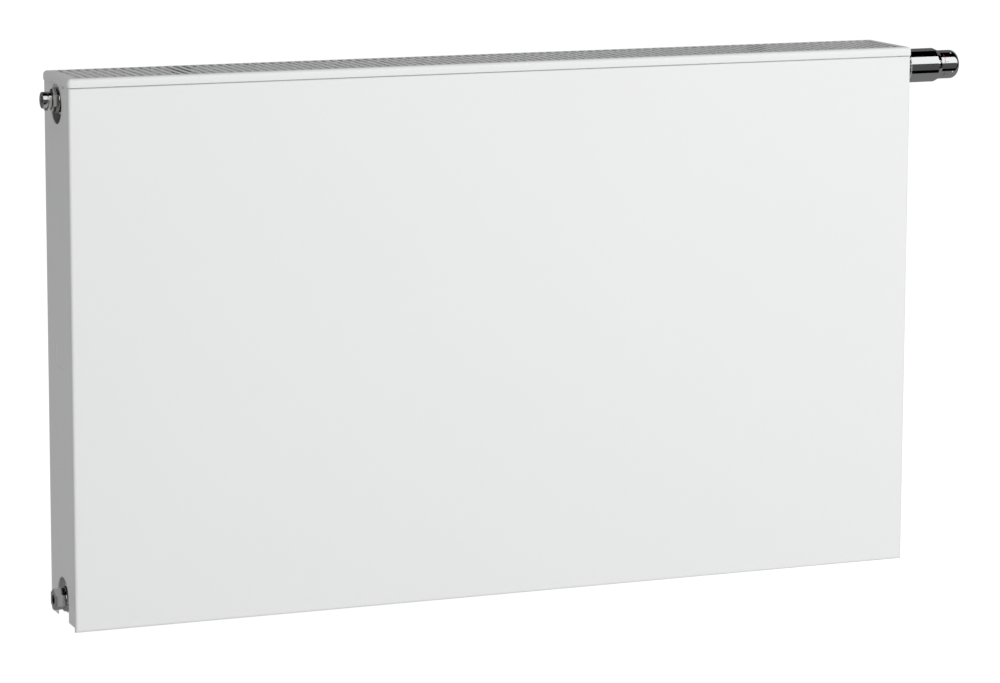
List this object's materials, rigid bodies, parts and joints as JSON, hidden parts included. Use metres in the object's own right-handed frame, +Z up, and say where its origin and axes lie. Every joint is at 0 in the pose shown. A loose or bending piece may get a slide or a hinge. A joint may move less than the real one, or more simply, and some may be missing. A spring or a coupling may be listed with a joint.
{
  "type": "panel radiator with valve",
  "caption": "Flat-fronted white steel panel radiator with slotted top grille, side covers, built-in valve and chrome thermostatic head.",
  "frame": {"origin": "centre of the supply nipple's lower end, in the plane of the radiator's bottom edge and at mid-depth, where the pipework is set out from", "axes": "+X along the length to the valve end, -Y to the room, +Z up"},
  "size_m": [1.099, 0.1099, 0.6],
  "materials": {
    "white_enamel": "baked white enamel, satin",
    "spring_steel": "bright spring steel",
    "nickel": "nickel-plated brass, bright",
    "chrome": "mirror chrome",
    "brass": "turned",
    "rubber": "matt",
    "dark_plastic": "moulded"
  },
  "bodies": {
    "radiator": {"connection_strap": "white_enamel", "front_fins": "white_enamel", "front_plate": "white_enamel", "front_water_panel": "white_enamel", "gland": "brass", "head_cage": "dark_plastic", "head_sleeve": "chrome", "head_union_nut": "chrome", "left_blanking_plug": "nickel", "left_blanking_plug_gasket": "rubber", "left_cover_rivet": "spring_steel", "left_side_cover": "white_enamel", "lower_left_lug": "white_enamel", "lower_left_tee": "white_enamel", "lower_right_lug": "white_enamel", "lower_right_tee": "white_enamel", "rear_fins": "white_enamel", "rear_water_panel": "white_enamel", "retaining_ring": "spring_steel", "return_nipple": "white_enamel", "return_spring": "spring_steel", "right_blanking_plug": "nickel", "right_blanking_plug_gasket": "rubber", "right_cover_rivet": "spring_steel", "right_side_cover": "white_enamel", "riser_pipe": "white_enamel", "supply_fitting": "white_enamel", "upper_left_lug": "white_enamel", "upper_left_tee": "white_enamel", "upper_right_lug": "white_enamel", "valve_gasket": "rubber", "valve_housing": "white_enamel", "valve_insert": "brass", "vent_plug_body": "nickel", "vent_plug_gasket": "rubber"},
    "grille": {"top_grille": "white_enamel", "grille_clips": "spring_steel"},
    "handle": {"handle": "chrome", "handle_cap": "chrome", "limit_pins": "chrome"},
    "sensor": {"sensor_carrier": "dark_plastic", "sensor_capsule": "brass", "push_pin": "brass", "overtravel_spring": "spring_steel"},
    "spindle": {"valve_spindle": "brass", "valve_disc": "rubber"},
    "preset": {"preset_ring": "dark_plastic"},
    "nozzle": {"vent_nozzle": "nickel"},
    "bleed": {"bleed_screw": "nickel"}
  },
  "joints": [
    {"name": "grille_lift", "type": "slide", "parent": "radiator", "child": "grille", "axis": [0, 0, 1], "range_m": [0, 0.04]},
    {"name": "handle_turn", "type": "hinge", "parent": "radiator", "child": "handle", "pos_m": [0.085, 0, 0.573], "axis": [1, 0, 0], "range_deg": [-135, 135]},
    {"name": "sensor_slide", "type": "slide", "parent": "radiator", "child": "sensor", "axis": [1, 0, 0], "range_m": [-0.0016, 0.0016]},
    {"name": "spindle_slide", "type": "slide", "parent": "radiator", "child": "spindle", "axis": [1, 0, 0], "range_m": [-0.0016, 0.0016], "deforming": ["return_spring"]},
    {"name": "preset_turn", "type": "hinge", "parent": "radiator", "child": "preset", "pos_m": [0.085, 0, 0.573], "axis": [1, 0, 0], "range_deg": [0, 300]},
    {"name": "nozzle_turn", "type": "hinge", "parent": "radiator", "child": "nozzle", "pos_m": [-0.915, 0, 0.573], "axis": [-1, 0, 0], "continuous": true},
    {"name": "bleed_turn", "type": "hinge", "parent": "radiator", "child": "bleed", "pos_m": [-0.915, 0, 0.573], "axis": [-1, 0, 0], "range_deg": [0, 360]}
  ],
  "couplings": [
    {"joint": "sensor_slide", "follows": "handle_turn", "m_per_rad": 0.00063662},
    {"joint": "spindle_slide", "follows": "handle_turn", "m_per_rad": 0.00063662}
  ]
}
